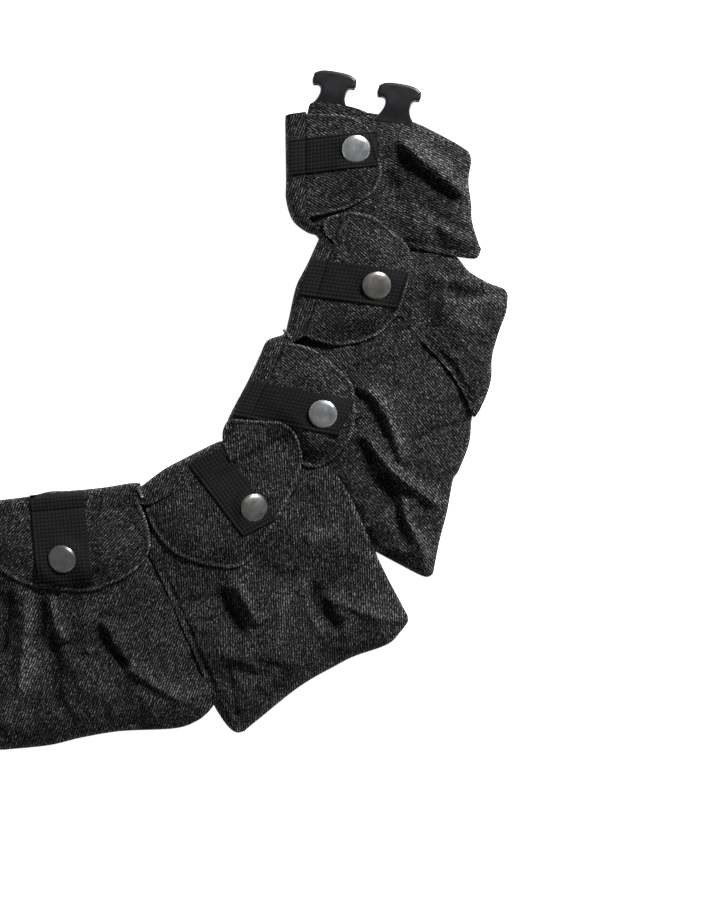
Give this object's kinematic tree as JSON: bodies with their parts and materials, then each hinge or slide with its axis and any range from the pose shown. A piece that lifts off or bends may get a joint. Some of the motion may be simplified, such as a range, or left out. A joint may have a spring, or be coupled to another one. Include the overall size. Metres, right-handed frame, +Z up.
{
  "type": "tool belt",
  "caption": "Denim tool belt with flapped snap-fastened pockets along one waistband, laid flat in a horseshoe, with side-release buckles at its ends.",
  "frame": {"origin": "on the table, in the middle of the waistband where the middle pocket hangs", "axes": "+Z up off the table; +Y from the middle pocket towards the open side of the horseshoe; +X to the right along the waistband, towards the end with the buckle sockets"},
  "size_m": [0.4696, 0.4431, 0.0245],
  "materials": {
    "denim": "black twill denim, slightly faded on folds and edges",
    "webbing": "black ribbed polypropylene webbing",
    "snap_metal": "satin nickel-plated press snap",
    "buckle_plastic": "satin black moulded acetal"
  },
  "bodies": {
    "belt": {"waistband": "denim", "pocket_1_bag": "denim", "pocket_1_snap_stud": "snap_metal", "pocket_2_bag": "denim", "pocket_2_snap_stud": "snap_metal", "pocket_3_bag": "denim", "pocket_3_snap_stud": "snap_metal", "pocket_4_bag": "denim", "pocket_4_snap_stud": "snap_metal", "pocket_5_bag": "denim", "pocket_5_snap_stud": "snap_metal", "pocket_6_bag": "denim", "pocket_6_snap_stud": "snap_metal", "pocket_7_bag": "denim", "pocket_7_snap_stud": "snap_metal", "pocket_8_bag": "denim", "pocket_8_snap_stud": "snap_metal", "pocket_9_bag": "denim", "pocket_9_snap_stud": "snap_metal", "socket_tab_upper": "webbing", "plug_strap_upper": "webbing", "socket_tab_lower": "webbing", "plug_strap_lower": "webbing"},
    "flap_1": {"pocket_1_flap": "denim", "pocket_1_flap_strap": "webbing", "pocket_1_snap_cap": "snap_metal"},
    "flap_2": {"pocket_2_flap": "denim", "pocket_2_flap_strap": "webbing", "pocket_2_snap_cap": "snap_metal"},
    "flap_3": {"pocket_3_flap": "denim", "pocket_3_flap_strap": "webbing", "pocket_3_snap_cap": "snap_metal"},
    "flap_4": {"pocket_4_flap": "denim", "pocket_4_flap_strap": "webbing", "pocket_4_snap_cap": "snap_metal"},
    "flap_5": {"pocket_5_flap": "denim", "pocket_5_flap_strap": "webbing", "pocket_5_snap_cap": "snap_metal"},
    "flap_6": {"pocket_6_flap": "denim", "pocket_6_flap_strap": "webbing", "pocket_6_snap_cap": "snap_metal"},
    "flap_7": {"pocket_7_flap": "denim", "pocket_7_flap_strap": "webbing", "pocket_7_snap_cap": "snap_metal"},
    "flap_8": {"pocket_8_flap": "denim", "pocket_8_flap_strap": "webbing", "pocket_8_snap_cap": "snap_metal"},
    "flap_9": {"pocket_9_flap": "denim", "pocket_9_flap_strap": "webbing", "pocket_9_snap_cap": "snap_metal"},
    "socket_upper": {"buckle_socket_upper": "buckle_plastic"},
    "plug_upper": {"buckle_plug_upper": "buckle_plastic"},
    "plug_upper_right_prong": {"buckle_plug_upper_right_prong": "buckle_plastic"},
    "plug_upper_left_prong": {"buckle_plug_upper_left_prong": "buckle_plastic"},
    "socket_lower": {"buckle_socket_lower": "buckle_plastic"},
    "plug_lower": {"buckle_plug_lower": "buckle_plastic"},
    "plug_lower_right_prong": {"buckle_plug_lower_right_prong": "buckle_plastic"},
    "plug_lower_left_prong": {"buckle_plug_lower_left_prong": "buckle_plastic"}
  },
  "joints": [
    {"name": "flap_1_hinge", "type": "hinge", "parent": "belt", "child": "flap_1", "pos_m": [0.129, 0.178, 0.0105], "axis": [0, -1, 0], "range_deg": [0, 120]},
    {"name": "flap_2_hinge", "type": "hinge", "parent": "belt", "child": "flap_2", "pos_m": [0.136, 0.112, 0.0105], "axis": [-0.309, -0.9511, 0], "range_deg": [0, 120]},
    {"name": "flap_3_hinge", "type": "hinge", "parent": "belt", "child": "flap_3", "pos_m": [0.106, 0.057, 0.0105], "axis": [-0.4226, -0.9063, 0], "range_deg": [0, 120]},
    {"name": "flap_4_hinge", "type": "hinge", "parent": "belt", "child": "flap_4", "pos_m": [0.082, 0.016, 0.0105], "axis": [-0.891, -0.454, 0], "range_deg": [0, 120]},
    {"name": "flap_5_hinge", "type": "hinge", "parent": "belt", "child": "flap_5", "pos_m": [0, -0.005, 0.0105], "axis": [-0.9962, -0.0872, 0], "range_deg": [0, 120]},
    {"name": "flap_6_hinge", "type": "hinge", "parent": "belt", "child": "flap_6", "pos_m": [-0.082, 0.016, 0.0105], "axis": [-0.891, 0.454, 0], "range_deg": [0, 120]},
    {"name": "flap_7_hinge", "type": "hinge", "parent": "belt", "child": "flap_7", "pos_m": [-0.106, 0.057, 0.0105], "axis": [-0.4226, 0.9063, 0], "range_deg": [0, 120]},
    {"name": "flap_8_hinge", "type": "hinge", "parent": "belt", "child": "flap_8", "pos_m": [-0.136, 0.112, 0.0105], "axis": [-0.309, 0.9511, 0], "range_deg": [0, 120]},
    {"name": "flap_9_hinge", "type": "hinge", "parent": "belt", "child": "flap_9", "pos_m": [-0.129, 0.178, 0.0105], "axis": [0, 1, 0], "range_deg": [0, 120]},
    {"name": "socket_upper_swing", "type": "hinge", "parent": "belt", "child": "socket_upper", "pos_m": [0.14182, 0.20745, 0.0044], "axis": [0.9848, -0.1736, 0], "range_deg": [0, 90]},
    {"name": "plug_upper_swing", "type": "hinge", "parent": "belt", "child": "plug_upper", "pos_m": [-0.15573, 0.28633, 0.0044], "axis": [0.9848, 0.1736, 0], "range_deg": [0, 90]},
    {"name": "plug_upper_right_squeeze", "type": "hinge", "parent": "plug_upper", "child": "plug_upper_right_prong", "pos_m": [-0.15108, 0.29801, 0.0044], "axis": [0, 0, 1], "range_deg": [0, 12], "stiffness_Nm_per_rad": 0.02},
    {"name": "plug_upper_left_squeeze", "type": "hinge", "parent": "plug_upper", "child": "plug_upper_left_prong", "pos_m": [-0.16408, 0.29572, 0.0044], "axis": [0, 0, -1], "range_deg": [0, 12], "stiffness_Nm_per_rad": 0.02},
    {"name": "socket_lower_swing", "type": "hinge", "parent": "belt", "child": "socket_lower", "pos_m": [0.17632, 0.20095, 0.0044], "axis": [0.9848, -0.1736, 0], "range_deg": [0, 90]},
    {"name": "plug_lower_swing", "type": "hinge", "parent": "belt", "child": "plug_lower", "pos_m": [-0.19023, 0.27983, 0.0044], "axis": [0.9848, 0.1736, 0], "range_deg": [0, 90]},
    {"name": "plug_lower_right_squeeze", "type": "hinge", "parent": "plug_lower", "child": "plug_lower_right_prong", "pos_m": [-0.18558, 0.29151, 0.0044], "axis": [0, 0, 1], "range_deg": [0, 12], "stiffness_Nm_per_rad": 0.02},
    {"name": "plug_lower_left_squeeze", "type": "hinge", "parent": "plug_lower", "child": "plug_lower_left_prong", "pos_m": [-0.19858, 0.28922, 0.0044], "axis": [0, 0, -1], "range_deg": [0, 12], "stiffness_Nm_per_rad": 0.02}
  ],
  "couplings": [
    {"joint": "plug_upper_left_squeeze", "follows": "plug_upper_right_squeeze", "ratio": 1},
    {"joint": "plug_lower_left_squeeze", "follows": "plug_lower_right_squeeze", "ratio": 1}
  ]
}
